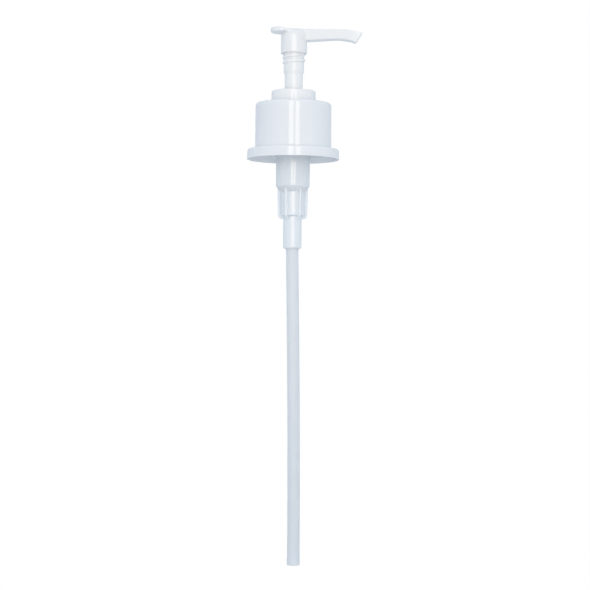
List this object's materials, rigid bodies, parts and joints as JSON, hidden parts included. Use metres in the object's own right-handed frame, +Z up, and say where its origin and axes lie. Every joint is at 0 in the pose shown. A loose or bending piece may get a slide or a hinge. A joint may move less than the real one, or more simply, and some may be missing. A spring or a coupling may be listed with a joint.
{
  "type": "condiment pump dispenser",
  "caption": "White press-head plunger pump with a spout, screw closure, ribbed translucent pump housing and long dip tube, for sauce bottles and jugs.",
  "frame": {"origin": "on the pump's axis at the underside of the neck gasket, where the pump seats on the bottle's neck", "axes": "+Z up along the pump's axis, +X along the spout, +Y to the left of a user who looks along the spout"},
  "size_m": [0.0622, 0.0504, 0.2935],
  "materials": {
    "white_gloss": "white gloss moulded polypropylene",
    "white_closure": "white gloss moulded polypropylene, closure",
    "natural_housing": "natural translucent polypropylene, blue-grey",
    "natural_inner": "natural polypropylene, inner parts",
    "piston_soft": "soft polyethylene, satin",
    "natural_tube": "natural translucent polyethylene tube",
    "gasket_foam": "closed-cell foam, matt",
    "spring_steel": "drawn stainless wire",
    "ball_steel": "polished stainless ball"
  },
  "bodies": {
    "housing": {"pump_housing": "natural_housing", "locking_collar": "white_gloss", "neck_gasket": "gasket_foam", "ball_cage": "natural_inner", "dip_tube": "natural_tube"},
    "closure": {"closure": "white_closure"},
    "spring": {"return_spring": "spring_steel"},
    "plunger": {"actuator_head": "white_gloss", "stem": "white_gloss", "piston_rod": "natural_inner"},
    "piston": {"piston": "piston_soft"},
    "ball": {"inlet_ball": "ball_steel"}
  },
  "joints": [
    {"name": "closure_spin", "type": "hinge", "parent": "housing", "child": "closure", "pos_m": [0, 0, 0.0042], "axis": [0, 0, 1], "continuous": true},
    {"name": "head_swivel", "type": "hinge", "parent": "housing", "child": "spring", "pos_m": [0, 0, 0.0119], "axis": [0, 0, 1], "continuous": true},
    {"name": "pump_stroke", "type": "slide", "parent": "spring", "child": "plunger", "axis": [0, 0, 1], "range_m": [-0.0145, 0], "stiffness_N_per_m": 700, "springref_m": 0.01, "deforming": ["return_spring"]},
    {"name": "piston_slip", "type": "slide", "parent": "plunger", "child": "piston", "axis": [0, 0, 1], "range_m": [0, 0.0015]},
    {"name": "inlet_ball_lift", "type": "slide", "parent": "housing", "child": "ball", "axis": [0, 0, 1], "range_m": [0, 0.002]}
  ]
}
